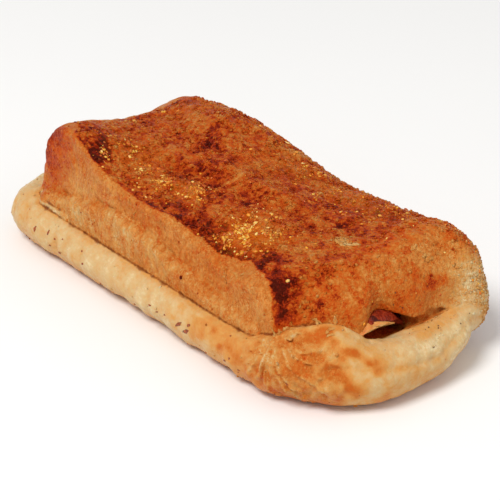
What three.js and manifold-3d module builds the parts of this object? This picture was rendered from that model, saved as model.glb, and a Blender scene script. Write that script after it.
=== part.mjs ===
// A folded puff pastry with ham and cheese inside, in millimetres.
// +X runs to the open end, -Y is the cut side with its pale rim, +Y is the fold, and it rests on z = 0.
// The dough is one solid. It is described by distance functions (negative inside, positive outside),
// which are walked on a grid and turned into one closed surface.
import * as THREE from "three";
import { mergeVertices } from "three/addons/utils/BufferGeometryUtils.js";
import Module from "manifold-3d";

// ---- driving dimensions -------------------------------------------------------------------------
const FAR_X = -79.5; // closed end of the base
const NEAR_X = 80; // open end of the base
const CUT_Y = -35; // outer edge of the rim on the cut side
const FOLD_Y = 37.2; // outside of the fold
const BASE_THICK = 15;
const RIM_ROUND = 7.5; // rounding of the rim's upper edge
const NEAR_BULGE = 0.6; // the open end bows out by this much, 20 off its middle
const FAR_SLANT = { slope: 0.31, fromY: -11.8 }; // the closed end slants in towards the cut side
const BASE_CORNERS = { farCut: 10, farFold: 16, nearCut: 31, nearFold: 25.5 };
const UNDER_ROUND = { rim: 8.5, open: 9.8, fold: 16.5 }; // rounding of the lower edge
const FOLD_FROM_X = { x0: -72, x1: -58 }; // the fold's round form begins here, past the bare far end

const FLAP_HEIGHT = 33; // general height of the upper layer
const FLAP_CUT_Y = -28.3; // foot of its cut side
const CUT_LEAN = 2.6; // how far the cut side leans in, over CUT_LEAN_RISE
const CUT_LEAN_RISE = 22;
const CUT_WAVE = { depth: 0.8, length: 12 };
const FLAP_FAR_X = -62; // far end of the upper layer, at the cut side
const FLAP_FAR_STEP = 2; // it reaches this much further out behind
const FLAP_LEAN = 0.1;
const FLAP_ROUND = { cut: 2.4, far: 6, fold: 11, nearCut: 10, nearOpen: 14, corner: 19 };
const FLAP_FOOT = 8; // the upper layer starts inside the base, at this height

const LIP_X = 73; // lip of the upper layer at the open end
const LIP_Z = 17;
const LIP_LEAN = 0.4;
const LIP_SKEW = { across: -0.64, along: 0.77, offset: 57.1 }; // the lip's slanted stretch, as a plan line
const LIP_ROUND = 7;

const BAND = { y: -30, x0: -59, x1: 46, low: 18, rise: 9, middle: -18, spread: 30, round: 3, depth: 10 };
const SEAM_BLEND = 0.6; // how softly the upper layer meets the base
const FOLD_BLEND = 7;

// Soft rises and dips of the two layers: centre, reach along X and Y, and height.
const FLAP_PUFFS = [
  { x: -48, y: -22, rx: 16, ry: 19, rise: 9.4 }, // high corner at the closed end
  { x: -30, y: 22, rx: 26, ry: 14, rise: 6.2 },
  { x: -62, y: 14, rx: 8, ry: 10, rise: -1.5 },
  { x: 60, y: 21, rx: 14, ry: 16, rise: 4.2 }, // puffed end over the opening
  { x: 27, y: -30, rx: 15, ry: 13, rise: -7 }, // the cut edge sinks here
  { x: 14, y: 32, rx: 20, ry: 14, rise: -2.5 },
  { x: -5, y: 2, rx: 30, ry: 14, rise: 2 },
  { x: 54, y: -24, rx: 10, ry: 12, rise: -3 },
];
const BASE_PUFFS = [
  { x: 55, y: -23, rx: 10, ry: 13, rise: 5.5 }, // blistered near corner
  { x: -62, y: -22, rx: 18, ry: 12, rise: 1 },
  { x: 64, y: -12, rx: 8, ry: 8, rise: 1.5 },
  { x: 65, y: -17, rx: 7, ry: 6, rise: 3.3 },
  { x: 72, y: 4, rx: 10, ry: 14, rise: 1.2 }, // crest of the lower lip
  { x: 74, y: 26, rx: 10, ry: 10, rise: 2.5 },
];

// The opening: the lip draws back over it, the base dips into it, and a slit runs inwards.
const LIP_NOTCHES = [
  { y: -1.5, spread: 7.5, depth: 9.6 },
  { y: 14, spread: 7, depth: 3 },
];
const NOTCH_FADE = { share: 0.6, from: 19, to: 31 }; // the notches fade up the slope
// The lip's underside rises over the ham.
const HAM_ARCH = { rise: 5.8, y0: -12, y1: -3.5, y2: -1.5, y3: 11 };
const SIDE_ARCH = { rise: 3.4, y: 14, spread: 7 };
const MOUTH_DIP = { depth: 3.4, inner: 34, x0: 44, x1: 62, x2: 71, y0: -13, y1: -5, y2: 18, y3: 26 };
const SLIT = { x0: 44, x1: 84, y0: -12, y1: 26, roof: 15.6, fall: 0.12, fallFrom: 66 };

// The filling: a slice of ham on a thinner layer of cheese, both running through the pastry.
const GAP = 0.5; // clearance between the dough and the filling
const SLICE_GAP = 0.8; // upright clearance between ham and cheese, which slope steeply under the arch
const FILLING_FAR_X = -52;
const HAM = { thick: 2.4, halfWidth: 19, x1: 65.5, y: 1, tipHalf: 8, tipY: -0.8, z: 16.6 };
const CHEESE = { thick: 1.5, halfWidth: 17, x1: 64.5, y: 1, tipHalf: 6.5, tipY: -3 };
const TIP_FROM = 40; // where the filling begins to narrow to what shows in the opening
const EDGE_SHARE = 0.7; // thickness left at a slice's edges
// The space that both slices lie in.
const POCKET_THICK = HAM.thick + SLICE_GAP + CHEESE.thick;
const POCKET = { ...HAM, thick: POCKET_THICK, tipHalf: 8.6, tipY: -1.2, edgeShare: 1 };

const CENTRE = { x: 0.2, y: 1.6 }; // middle of the footprint, which becomes the origin

const GRID = {
  x: { from: -88, to: 88, step: 5, fineFrom: 53, fineTo: 76, fine: 2.1 },
  y: { from: -42, to: 45, step: 4.4, fineFrom: -11, fineTo: 27, fine: 3 },
  z: { from: -5, to: 48, step: 3.3, fineFrom: 11, fineTo: 21, fine: 1.4 },
};

// ---- distance helpers ---------------------------------------------------------------------------
const { max, min, abs, exp, hypot, sin } = Math;

// What lies inside both a and b, with their edge rounded to the given radius.
function roundedBoth(a, b, radius) {
  const u = a + radius;
  const v = b + radius;
  return min(max(u, v), 0) + hypot(max(u, 0), max(v, 0)) - radius;
}

// What lies inside a or b, with their crease filled softly.
function softEither(a, b, reach) {
  const h = max(reach - abs(a - b), 0) / reach;
  return min(a, b) - (h * h * reach) / 4;
}

// 0 below from, 1 above to, and a smooth step between them. from may be the larger.
function ramp(from, to, x) {
  return THREE.MathUtils.smoothstep((x - from) / (to - from), 0, 1);
}

const mix = THREE.MathUtils.lerp;
const hump = (t, centre, spread) => exp(-(((t - centre) / spread) ** 2));
const puffs = (list, x, y) =>
  list.reduce((sum, p) => sum + p.rise * hump(x, p.x, p.rx) * hump(y, p.y, p.ry), 0);

// ---- the base -----------------------------------------------------------------------------------
function mouthDip(x, y) {
  const across = ramp(MOUTH_DIP.y0, MOUTH_DIP.y1, y) * (1 - ramp(MOUTH_DIP.y2, MOUTH_DIP.y3, y));
  const along = ramp(MOUTH_DIP.inner, MOUTH_DIP.x0, x) * ramp(MOUTH_DIP.x2, MOUTH_DIP.x1, x);
  return MOUTH_DIP.depth * across * along;
}

const baseTop = (x, y) => BASE_THICK + puffs(BASE_PUFFS, x, y) - mouthDip(x, y);

// Distance outside the base's outline, seen from above: a long form with bulged ends.
function outline(x, y) {
  const bulge = NEAR_BULGE * ((y - 4) / 20) ** 2;
  const slant = FAR_SLANT.slope * max(FAR_SLANT.fromY - y, 0);
  const ends = max(x - NEAR_X + bulge, FAR_X + slant - x);
  const sides = max(CUT_Y - y, y - FOLD_Y);
  const toFold = ramp(-12, 12, y);
  const farCorner = mix(BASE_CORNERS.farCut, BASE_CORNERS.farFold, toFold);
  const nearCorner = mix(BASE_CORNERS.nearCut, BASE_CORNERS.nearFold, toFold);
  return roundedBoth(ends, sides, mix(farCorner, nearCorner, ramp(-20, 20, x)));
}

const base = (x, y, z) => roundedBoth(outline(x, y), z - baseTop(x, y), RIM_ROUND);

// ---- the upper layer ----------------------------------------------------------------------------
const flapTop = (x, y) => FLAP_HEIGHT + puffs(FLAP_PUFFS, x, y);

// The lip: straight across the open end with two notches, and slanting back on the cut side.
function lip(x, y, z) {
  const keep = 1 - NOTCH_FADE.share * ramp(NOTCH_FADE.from, NOTCH_FADE.to, z);
  const notches = LIP_NOTCHES.reduce((sum, n) => sum + n.depth * hump(y, n.y, n.spread), 0);
  const toFold = (NEAR_X - LIP_X - 1) * ramp(22, 32, y);
  const straight = x - (LIP_X - keep * notches + toFold);
  const slanted = LIP_SKEW.along * x + LIP_SKEW.across * y - LIP_SKEW.offset;
  return roundedBoth(straight, slanted, LIP_ROUND) + LIP_LEAN * min(max(z - LIP_Z, 0), 14);
}

function cutSide(x, y, z) {
  const rise = min(max((z - BASE_THICK) / CUT_LEAN_RISE, 0), 1);
  return FLAP_CUT_Y + CUT_LEAN * rise + CUT_WAVE.depth * sin(x / CUT_WAVE.length) - y;
}

function farSide(x, y, z) {
  const foot = FLAP_FAR_X - FLAP_FAR_STEP * ramp(-15, 10, y);
  return foot + FLAP_LEAN * max(z - BASE_THICK, 0) - x;
}

function flap(x, y, z) {
  const fold = roundedBoth(y - FOLD_Y, x - NEAR_X, FLAP_ROUND.corner);
  const nearRound = mix(FLAP_ROUND.nearCut, FLAP_ROUND.nearOpen, ramp(-25, 10, y));
  let d = roundedBoth(z - flapTop(x, y), fold, FLAP_ROUND.fold);
  d = roundedBoth(d, lip(x, y, z), nearRound);
  d = roundedBoth(d, farSide(x, y, z), FLAP_ROUND.far);
  d = roundedBoth(d, cutSide(x, y, z), FLAP_ROUND.cut);
  return max(d, FLAP_FOOT * ramp(28, 16, y) - z); // at the fold it reaches the ground
}

// A roll of inner layers that stands a little proud along the foot of the cut side.
function band(x, y, z) {
  const height = BAND.low + BAND.rise * hump(x, BAND.middle, BAND.spread);
  let d = roundedBoth(BAND.y - y, z - height, BAND.round);
  d = max(d, y - BAND.y - BAND.depth);
  d = roundedBoth(d, BAND.x0 - x, BAND.round);
  d = roundedBoth(d, x - BAND.x1, BAND.round);
  return max(d, FLAP_FOOT - z);
}

// The slit between the layers at the open end, from the dipped base up to the arched lip.
function roof(x, y) {
  const overHam = HAM_ARCH.rise * ramp(HAM_ARCH.y0, HAM_ARCH.y1, y) * ramp(HAM_ARCH.y3, HAM_ARCH.y2, y);
  const arches = overHam + SIDE_ARCH.rise * hump(y, SIDE_ARCH.y, SIDE_ARCH.spread);
  return SLIT.roof + arches - SLIT.fall * (SLIT.fallFrom - x);
}

function slit(x, y, z) {
  const d = max(baseTop(x, y) - z, z - roof(x, y), SLIT.y0 - y, y - SLIT.y1);
  return max(d, SLIT.x0 - x, x - SLIT.x1);
}

function dough(x, y, z) {
  const upper = max(min(flap(x, y, z), band(x, y, z)), -slit(x, y, z));
  const folded = ramp(FOLD_FROM_X.x0, FOLD_FROM_X.x1, x);
  const blend = SEAM_BLEND + FOLD_BLEND * folded * ramp(24, 31, y);
  const both = softEither(base(x, y, z), upper, blend);
  const towardFold = (UNDER_ROUND.fold - UNDER_ROUND.rim) * folded * ramp(5, 30, y);
  const towardOpen = (UNDER_ROUND.open - UNDER_ROUND.rim) * ramp(40, 60, x);
  return roundedBoth(both, -z, UNDER_ROUND.rim + towardFold + towardOpen);
}

// ---- from distance to surface -------------------------------------------------------------------
// Grid lines along one axis, closer together between fineFrom and fineTo.
function gridLines({ from, to, step, fineFrom, fineTo, fine }) {
  const stretch = (a, b, size) => {
    const count = Math.round((b - a) / size);
    return Array.from({ length: count }, (_, i) => a + ((b - a) * i) / count);
  };
  return [...stretch(from, fineFrom, step), ...stretch(fineFrom, fineTo, fine), ...stretch(fineTo, to, step), to];
}

// One closed surface where the distance is zero: a point in every grid cell that the surface crosses,
// and a pair of triangles round every grid edge that it crosses.
function surfaceOf(distance, grid) {
  const lines = [gridLines(grid.x), gridLines(grid.y), gridLines(grid.z)];
  const [nx, ny, nz] = lines.map((line) => line.length);
  const index = (i, j, k) => (i * ny + j) * nz + k;
  const field = new Float64Array(nx * ny * nz);
  for (let i = 0; i < nx; i++)
    for (let j = 0; j < ny; j++)
      for (let k = 0; k < nz; k++)
        field[index(i, j, k)] = distance(lines[0][i], lines[1][j], lines[2][k]);

  const corner = (i, j, k) => new THREE.Vector3(lines[0][i], lines[1][j], lines[2][k]);
  const steps = [
    [1, 0, 0],
    [0, 1, 0],
    [0, 0, 1],
  ];
  const crossed = (a, b) => field[a] < 0 !== field[b] < 0;

  // The mean of the points where the surface crosses a cell's twelve edges.
  function cellPoint(i, j, k) {
    const mean = new THREE.Vector3();
    let count = 0;
    for (let axis = 0; axis < 3; axis++) {
      const [di, dj, dk] = steps[axis];
      const [u, v] = steps.filter((_, other) => other !== axis);
      for (const [s, t] of [[0, 0], [0, 1], [1, 0], [1, 1]]) {
        const start = [i + s * u[0] + t * v[0], j + s * u[1] + t * v[1], k + s * u[2] + t * v[2]];
        const end = [start[0] + di, start[1] + dj, start[2] + dk];
        const a = index(...start);
        const b = index(...end);
        if (!crossed(a, b)) continue;
        mean.add(corner(...start).lerp(corner(...end), field[a] / (field[a] - field[b])));
        count++;
      }
    }
    return count ? mean.divideScalar(count) : null;
  }

  const cell = new Int32Array(nx * ny * nz).fill(-1);
  const positions = [];
  for (let i = 0; i < nx - 1; i++)
    for (let j = 0; j < ny - 1; j++)
      for (let k = 0; k < nz - 1; k++) {
        const point = cellPoint(i, j, k);
        if (!point) continue;
        cell[index(i, j, k)] = positions.length / 3;
        positions.push(point.x, point.y, point.z);
      }

  const triangles = [];
  for (let i = 1; i < nx - 1; i++)
    for (let j = 1; j < ny - 1; j++)
      for (let k = 1; k < nz - 1; k++)
        for (let axis = 0; axis < 3; axis++) {
          const here = index(i, j, k);
          const next = here + index(...steps[axis]);
          if (!crossed(here, next)) continue;
          const back = index(...steps[(axis + 1) % 3]);
          const down = index(...steps[(axis + 2) % 3]);
          const ring = [here - back - down, here - down, here, here - back].map((at) => cell[at]);
          if (field[here] > 0) ring.reverse();
          triangles.push(ring[0], ring[1], ring[2], ring[0], ring[2], ring[3]);
        }

  const geometry = new THREE.BufferGeometry();
  geometry.setAttribute("position", new THREE.Float32BufferAttribute(positions, 3));
  geometry.setIndex(triangles);
  return geometry;
}

// ---- the filling --------------------------------------------------------------------------------
// A slice that follows the middle height, narrowing to its tip at the open end. grow swells it all round.
function slice({ thick, halfWidth, x1, y, tipHalf, tipY, edgeShare = EDGE_SHARE }, middle, grow) {
  const box = new THREE.BoxGeometry(1, 1, 1, 12, 10, 1);
  const at = box.getAttribute("position");
  for (let n = 0; n < at.count; n++) {
    const across = 2 * at.getY(n);
    const up = 2 * at.getZ(n);
    const along = 1 - (0.5 - at.getX(n)) ** 2; // closer steps towards the tip
    const x = mix(FILLING_FAR_X - grow, x1 + grow, along);
    const toTip = ramp(TIP_FROM, x1, x);
    const bow = 1 - 0.12 * (2 * along - 1) ** 8;
    const half = mix(halfWidth, tipHalf, toTip) * bow + grow;
    const py = mix(y, tipY, toTip) + across * half;
    const thinned = mix(1, edgeShare, abs(across) ** 6);
    const pz = middle(x, py) + up * ((thick / 2) * thinned + grow);
    at.setXYZ(n, x, py, pz);
  }
  return box;
}

// Inside, the ham lies level. Near the opening it hangs under the arched lip.
function hamMiddle(x, y) {
  const under = roof(x, y) - GAP - HAM.thick / 2;
  return mix(HAM.z, under, ramp(SLIT.x0 - 2, SLIT.x0 + 10, x));
}

const cheeseMiddle = (x, y) => hamMiddle(x, y) - HAM.thick / 2 - SLICE_GAP - CHEESE.thick / 2;
const pocketMiddle = (x, y) => hamMiddle(x, y) + HAM.thick / 2 - POCKET.thick / 2;

// ---- solids -------------------------------------------------------------------------------------
const wasm = await Module();
wasm.setup();

function solidFrom(geometry) {
  const bare = geometry.clone();
  bare.deleteAttribute("normal");
  bare.deleteAttribute("uv");
  const merged = mergeVertices(bare, 1e-4);
  return new wasm.Manifold(
    new wasm.Mesh({
      numProp: 3,
      vertProperties: new Float32Array(merged.getAttribute("position").array),
      triVerts: new Uint32Array(merged.index.array),
    }),
  );
}

function geometryFrom(solid) {
  const { vertProperties, triVerts } = solid.getMesh();
  const geometry = new THREE.BufferGeometry();
  geometry.setAttribute("position", new THREE.BufferAttribute(vertProperties, 3));
  geometry.setIndex(new THREE.BufferAttribute(triVerts, 1));
  geometry.computeVertexNormals();
  return geometry;
}

const pastrySolid = solidFrom(surfaceOf(dough, GRID)).subtract(solidFrom(slice(POCKET, pocketMiddle, GAP)));

function piece(name, geometry, color, roughness) {
  const mesh = new THREE.Mesh(geometry, new THREE.MeshStandardMaterial({ color, roughness, metalness: 0 }));
  mesh.name = name;
  mesh.position.set(-CENTRE.x, -CENTRE.y, 0);
  return mesh;
}

const hamAndCheesePastry = new THREE.Group();
hamAndCheesePastry.add(
  piece("pastry", geometryFrom(pastrySolid), 0xc98544, 0.6),
  piece("ham", slice(HAM, hamMiddle, 0), 0x8c3a1e, 0.45),
  piece("cheese", slice(CHEESE, cheeseMiddle, 0), 0xd9a55e, 0.5),
);

export default hamAndCheesePastry;
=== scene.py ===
"""The looks of a folded puff pastry with ham and cheese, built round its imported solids.

The dough's form is a distance function (negative inside), in millimetres, with +X to the open end, -Y the cut
side and +Y the fold. It is sampled on a fine grid, given its relief and turned into one closed mesh.
"""

import itertools
import math

import bmesh
import bpy
import numpy as np
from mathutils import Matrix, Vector
from mathutils.bvhtree import BVHTree


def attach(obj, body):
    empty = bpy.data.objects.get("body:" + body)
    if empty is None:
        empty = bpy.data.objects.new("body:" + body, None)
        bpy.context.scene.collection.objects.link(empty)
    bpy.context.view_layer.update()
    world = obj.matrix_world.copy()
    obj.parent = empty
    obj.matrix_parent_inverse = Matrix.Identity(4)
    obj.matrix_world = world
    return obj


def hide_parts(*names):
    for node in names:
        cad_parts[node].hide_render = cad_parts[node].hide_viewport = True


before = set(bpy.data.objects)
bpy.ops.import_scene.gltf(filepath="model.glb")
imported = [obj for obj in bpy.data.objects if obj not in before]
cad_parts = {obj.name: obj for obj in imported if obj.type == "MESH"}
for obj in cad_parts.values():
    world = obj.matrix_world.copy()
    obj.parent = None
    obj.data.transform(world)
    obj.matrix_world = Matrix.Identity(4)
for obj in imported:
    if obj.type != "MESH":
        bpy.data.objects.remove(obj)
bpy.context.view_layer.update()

MM = 0.001
CENTRE = np.array([0.2, 1.6, 0.0])  # where the part's origin lies, in the form's own millimetres
BODY = "root"

# ---- the form's sizes: the solids' own, but for a shallower slit and slightly lower rises ----
FAR_X, NEAR_X = -79.5, 80.0
CUT_Y, FOLD_Y = -35.0, 37.2
BASE_THICK = 15.0
RIM_ROUND = 7.5
NEAR_BULGE = 0.6
FAR_SLANT, FAR_SLANT_Y = 0.31, -11.8
BASE_CORNERS = dict(far_cut=10.0, far_fold=16.0, near_cut=31.0, near_fold=25.5)
UNDER_ROUND = dict(rim=8.5, open=9.8, fold=16.5)
FOLD_FROM = (-72.0, -58.0)  # along X, the fold's round form begins here
FLAP_HEIGHT = 33.0
FLAP_CUT_Y = -28.3
CUT_LEAN, CUT_LEAN_RISE = 2.6, 22.0
CUT_WAVE, CUT_WAVE_LENGTH = 0.8, 12.0
FLAP_FAR_X, FLAP_FAR_STEP, FLAP_LEAN = -62.0, 2.0, 0.1
FLAP_ROUND = dict(cut=1.6, far=6.0, fold=11.0, near_cut=10.0, near_open=14.0, corner=19.0)
FLAP_FOOT, FOLD_FOOT = 8.0, 0.0
LIP_X, LIP_Z, LIP_LEAN, LIP_ROUND = 73.0, 17.0, 0.4, 7.0
LIP_SKEW = dict(across=-0.64, along=0.77, offset=57.1)
BAND = dict(y=-30.0, x0=-59.0, x1=46.0, low=18.0, rise=9.0, middle=-18.0, spread=30.0, round=3.0, depth=10.0)
SLIVER = dict(x0=-64.0, x1=-60.0, x2=-48.0, x3=-40.0, width=2.3, thick=0.5)  # a thin pale layer by the seam
SEAM_BLEND, FOLD_BLEND = 0.9, 7.0
FOLD_SEAM_Y = (15.0, 29.0)  # between these the seam at the open end fades into the fold

# Soft rises and dips: centre along X and Y, reach along X and Y, and height.
FLAP_PUFFS = [
    (-48, -22, 16, 19, 9.1),
    (-30, 22, 26, 14, 5.7),
    (-62, 14, 8, 10, -1.5),
    (60, 21, 14, 16, 4.2),
    (27, -30, 15, 13, -7.0),
    (14, 32, 20, 14, -2.5),
    (-5, 2, 30, 14, 2.0),
    (54, -24, 10, 12, -3.0),
]
BASE_PUFFS = [
    (55, -23, 10, 13, 5.5),
    (-62, -22, 18, 12, 1.0),
    (64, -12, 8, 8, 1.5),
    (65, -17, 7, 6, 3.3),
    (72, 4, 10, 14, 1.2),
    (74, 26, 10, 10, 2.5),
]
LIP_NOTCHES = [(-1.5, 7.5, 9.6), (14.0, 7.0, 3.0)]  # y, spread and depth
HAM_ARCH = dict(rise=5.8, y0=-12.0, y1=-3.5, y2=-1.5, y3=11.0)
SIDE_ARCH = dict(rise=2.7, y=13.5, spread=6.5)
NOTCH_FADE = dict(share=0.6, low=19.0, high=31.0)
MOUTH_DIP = dict(depth=3.4, inner=34.0, x0=44.0, x1=62.0, x2=71.0, y0=-13.0, y1=-5.0, y2=18.0, y3=26.0)
SLIT = dict(x0=44.0, x0_side=68.0, x1=84.0, y0=-12.0, y1=26.0, roof=15.6, fall=0.12, fall_from=66.0)
GAP = 0.5
SLICE_GAP = 0.8
FILLING_FAR_X = -52.0
HAM = dict(thick=2.4, half_width=19.0, x1=65.5, y=1.0, tip_half=8.0, tip_y=-0.8, z=16.6)
CHEESE = dict(thick=1.5, half_width=17.0, x1=64.5, y=1.0, tip_half=6.5, tip_y=-3.0)
POCKET = dict(half_width=19.0, x1=65.5, y=1.0, tip_half=8.6, tip_y=-1.2)
TIP_FROM = 40.0
EDGE_SHARE = 0.7

GRID_STEP = 0.65
GRID_BOX = ((-83, 83), (-39, 41), (-2.4, 46))
RELIEF_REACH = 3.0  # how far from the plain form the relief may move the surface
JOINED = -0.02  # the distance given to a grid point that joins two others
UNTANGLE_ROUNDS = 12
UNDERSIDE_Z, POCKET_SKIN, SEEN_X = 0.2, 0.5, 42  # below, nearer the pocket or short of these it is unseen
HIDDEN_KEEP = 0.74  # share of the faces left once the unseen ones are thinned out


# ---- helpers for distances and noise ----
def rounded_both(a, b, radius):
    """What lies inside both a and b, with their edge rounded."""
    u, v = a + radius, b + radius
    return np.minimum(np.maximum(u, v), 0) + np.hypot(np.maximum(u, 0), np.maximum(v, 0)) - radius


def soft_either(a, b, reach):
    """What lies inside a or b, with their crease filled softly."""
    h = np.maximum(reach - np.abs(a - b), 0) / reach
    return np.minimum(a, b) - h * h * reach / 4


def ramp(low, high, x):
    """0 at low, 1 at high, and a smooth step between them. low may be the larger."""
    t = np.clip((x - low) / (high - low), 0, 1)
    return t * t * (3 - 2 * t)


def mix(a, b, t):
    return a + (b - a) * t


def hump(t, centre, spread):
    return np.exp(-(((t - centre) / spread) ** 2))


def puffs(rows, x, y):
    return sum(rise * hump(x, cx, rx) * hump(y, cy, ry) for cx, cy, rx, ry, rise in rows)


NOISE_TABLE = 8192
NOISE_PRIMES = (73856093, 19349663, 83492791)
TILT = np.array([[0.80, -0.36, 0.48], [0.60, 0.48, -0.64], [0.0, 0.80, 0.60]])  # hides the noise's own grid


def noise(points, sizes, seed, tilted=True):
    """Smooth noise from -1 to 1 whose features have the given sizes along X, Y and Z, in millimetres."""
    q = (points @ TILT if tilted else points) / np.broadcast_to(sizes, 3)
    cell = np.floor(q).astype(np.int64)
    t = q - cell
    t = t * t * (3 - 2 * t)
    table = np.random.default_rng(seed).uniform(-1, 1, NOISE_TABLE)
    total = np.zeros(len(q))
    for corner in itertools.product((0, 1), repeat=3):
        key = np.zeros(len(q), np.int64)
        weight = np.ones(len(q))
        for axis in range(3):
            key ^= (cell[:, axis] + corner[axis]) * NOISE_PRIMES[axis]
            weight *= t[:, axis] if corner[axis] else 1 - t[:, axis]
        total += weight * table[key % NOISE_TABLE]
    return total


def upright(x, y, z, sizes, seed):
    """The same noise, with its features along the axes."""
    return noise(np.stack([x, y, z], 1), sizes, seed, tilted=False)


# ---- the dough's form ----
def base_top(x, y):
    m = MOUTH_DIP
    across = ramp(m["y0"], m["y1"], y) * (1 - ramp(m["y2"], m["y3"], y))
    along = ramp(m["inner"], m["x0"], x) * ramp(m["x2"], m["x1"], x)
    return BASE_THICK + puffs(BASE_PUFFS, x, y) - m["depth"] * across * along


def outline(x, y):
    """Distance outside the base's outline, seen from above."""
    bulge = NEAR_BULGE * ((y - 4) / 20) ** 2
    slant = FAR_SLANT * np.maximum(FAR_SLANT_Y - y, 0)
    ends = np.maximum(x - NEAR_X + bulge, FAR_X + slant - x)
    sides = np.maximum(CUT_Y - y, y - FOLD_Y)
    c, to_fold = BASE_CORNERS, ramp(-12, 12, y)
    far = mix(c["far_cut"], c["far_fold"], to_fold)
    near = mix(c["near_cut"], c["near_fold"], to_fold)
    return rounded_both(ends, sides, mix(far, near, ramp(-20, 20, x)))


def base(x, y, z):
    return rounded_both(outline(x, y), z - base_top(x, y), RIM_ROUND)


def flap_top(x, y):
    return FLAP_HEIGHT + puffs(FLAP_PUFFS, x, y)


def lip(x, y, z):
    """Distance outside the upper layer's lip at the open end."""
    keep = 1 - NOTCH_FADE["share"] * ramp(NOTCH_FADE["low"], NOTCH_FADE["high"], z)
    notches = sum(depth * hump(y, cy, spread) for cy, spread, depth in LIP_NOTCHES)
    straight = x - (LIP_X - keep * notches + (NEAR_X - LIP_X - 1) * ramp(22, 32, y))
    slanted = LIP_SKEW["along"] * x + LIP_SKEW["across"] * y - LIP_SKEW["offset"]
    return rounded_both(straight, slanted, LIP_ROUND) + LIP_LEAN * np.clip(z - LIP_Z, 0, 14)


def cut_side(x, y, z):
    rise = np.clip((z - BASE_THICK) / CUT_LEAN_RISE, 0, 1)
    return FLAP_CUT_Y + CUT_LEAN * rise + CUT_WAVE * np.sin(x / CUT_WAVE_LENGTH) - y


def far_side(x, y, z):
    foot = FLAP_FAR_X - FLAP_FAR_STEP * ramp(-15, 10, y)
    return foot + FLAP_LEAN * np.maximum(z - BASE_THICK, 0) - x


def lid(x, y, z):
    """The upper layer before its cut side and far end are taken off."""
    fold = rounded_both(y - FOLD_Y, x - NEAR_X, FLAP_ROUND["corner"])
    near_round = mix(FLAP_ROUND["near_cut"], FLAP_ROUND["near_open"], ramp(-25, 10, y))
    return rounded_both(rounded_both(z - flap_top(x, y), fold, FLAP_ROUND["fold"]), lip(x, y, z), near_round)


def flap(x, y, z):
    d = rounded_both(lid(x, y, z), far_side(x, y, z), FLAP_ROUND["far"])
    d = rounded_both(d, cut_side(x, y, z), FLAP_ROUND["cut"])
    return np.maximum(d, mix(FLAP_FOOT, FOLD_FOOT, ramp(16, 28, y)) - z)


def band(x, y, z):
    """The roll of inner layers along the foot of the cut side."""
    b = BAND
    height = b["low"] + b["rise"] * hump(x, b["middle"], b["spread"])
    d = rounded_both(b["y"] - y, z - height, b["round"])
    d = np.maximum(d, y - b["y"] - b["depth"])
    d = rounded_both(rounded_both(d, b["x0"] - x, b["round"]), x - b["x1"], b["round"])
    return np.maximum(d, FLAP_FOOT - z)


def upper_layer(x, y, z):
    return np.minimum(flap(x, y, z), band(x, y, z))


def roof(x, y):
    h, side = HAM_ARCH, SIDE_ARCH
    arches = h["rise"] * ramp(h["y0"], h["y1"], y) * ramp(h["y3"], h["y2"], y)
    arches = arches + side["rise"] * hump(y, side["y"], side["spread"])
    return SLIT["roof"] + arches - SLIT["fall"] * (SLIT["fall_from"] - x)


def slit(x, y, z):
    d = np.maximum(base_top(x, y) - z, z - roof(x, y))
    d = np.maximum(d, np.maximum(SLIT["y0"] - y, y - SLIT["y1"]))
    inner = mix(SLIT["x0"], SLIT["x0_side"], ramp(5, 10, y))
    return np.maximum(d, np.maximum(inner - x, x - SLIT["x1"]))


def ham_middle(x, y):
    under = roof(x, y) - GAP - HAM["thick"] / 2
    return mix(HAM["z"], under, ramp(SLIT["x0"] - 2, SLIT["x0"] + 10, x))


def cheese_middle(x, y):
    return ham_middle(x, y) - HAM["thick"] / 2 - SLICE_GAP - CHEESE["thick"] / 2


def slice_side(spec, x, y):
    """Distance outside a slice's outline, seen from above."""
    to_tip = ramp(TIP_FROM, spec["x1"], x)
    half = mix(spec["half_width"], spec["tip_half"], to_tip)
    across = np.abs(y - mix(spec["y"], spec["tip_y"], to_tip)) - half
    return rounded_both(across, np.maximum(x - spec["x1"], FILLING_FAR_X - x), 2.0)


def pocket(x, y, z):
    """The space that the filling takes, with its clearance."""
    top = z - (ham_middle(x, y) + HAM["thick"] / 2)
    bottom = (cheese_middle(x, y) - CHEESE["thick"] / 2) - z
    side = np.maximum(slice_side(POCKET, x, y), 0)
    return np.maximum(np.maximum(top, bottom), side) - GAP


def folded(x):
    return ramp(*FOLD_FROM, x)


def dough(x, y, z):
    upper = np.maximum(upper_layer(x, y, z), -slit(x, y, z))
    toward_fold = np.maximum(ramp(24, 31, y), 0.7 * ramp(*FOLD_SEAM_Y, y) * ramp(60, 68, x))
    toward_fold = toward_fold * (1 + 0.7 * ramp(60, 70, x))
    both = soft_either(base(x, y, z), upper, SEAM_BLEND + FOLD_BLEND * folded(x) * toward_fold)
    u = UNDER_ROUND
    under = u["rim"] + (u["fold"] - u["rim"]) * folded(x) * ramp(5, 30, y)
    under = under + (u["open"] - u["rim"]) * ramp(40, 60, x)
    return rounded_both(both, -z, under)


# ---- where on the dough a point lies ----
EDGE_WOBBLE = 0.55  # how far the browned crust's edge strays
EDGE_RISE = [  # along X: how far the cut side's colour reaches over onto the top
    (-64, 7.0), (-55, 6.5), (-49, 5.2), (-47, 2.5), (-46, 1.0), (-38, 0.5), (-31, 1.2), (-16, 2.0),
    (-10, 1.6), (-5, 1.3), (2, 2.1), (9, 1.4), (13, 2.8), (20, 3.6), (26, 5.3), (31, 6.8),
    (36, 5.3), (41, 4.5), (44, 3.7), (45.5, 2.4), (47, 1.4), (49, 0.3),
]
FAR = 4.0  # millimetres, beyond which a distance no longer matters
SEAM_REACH = 2.6  # how far out of the dough a seam still counts


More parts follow.
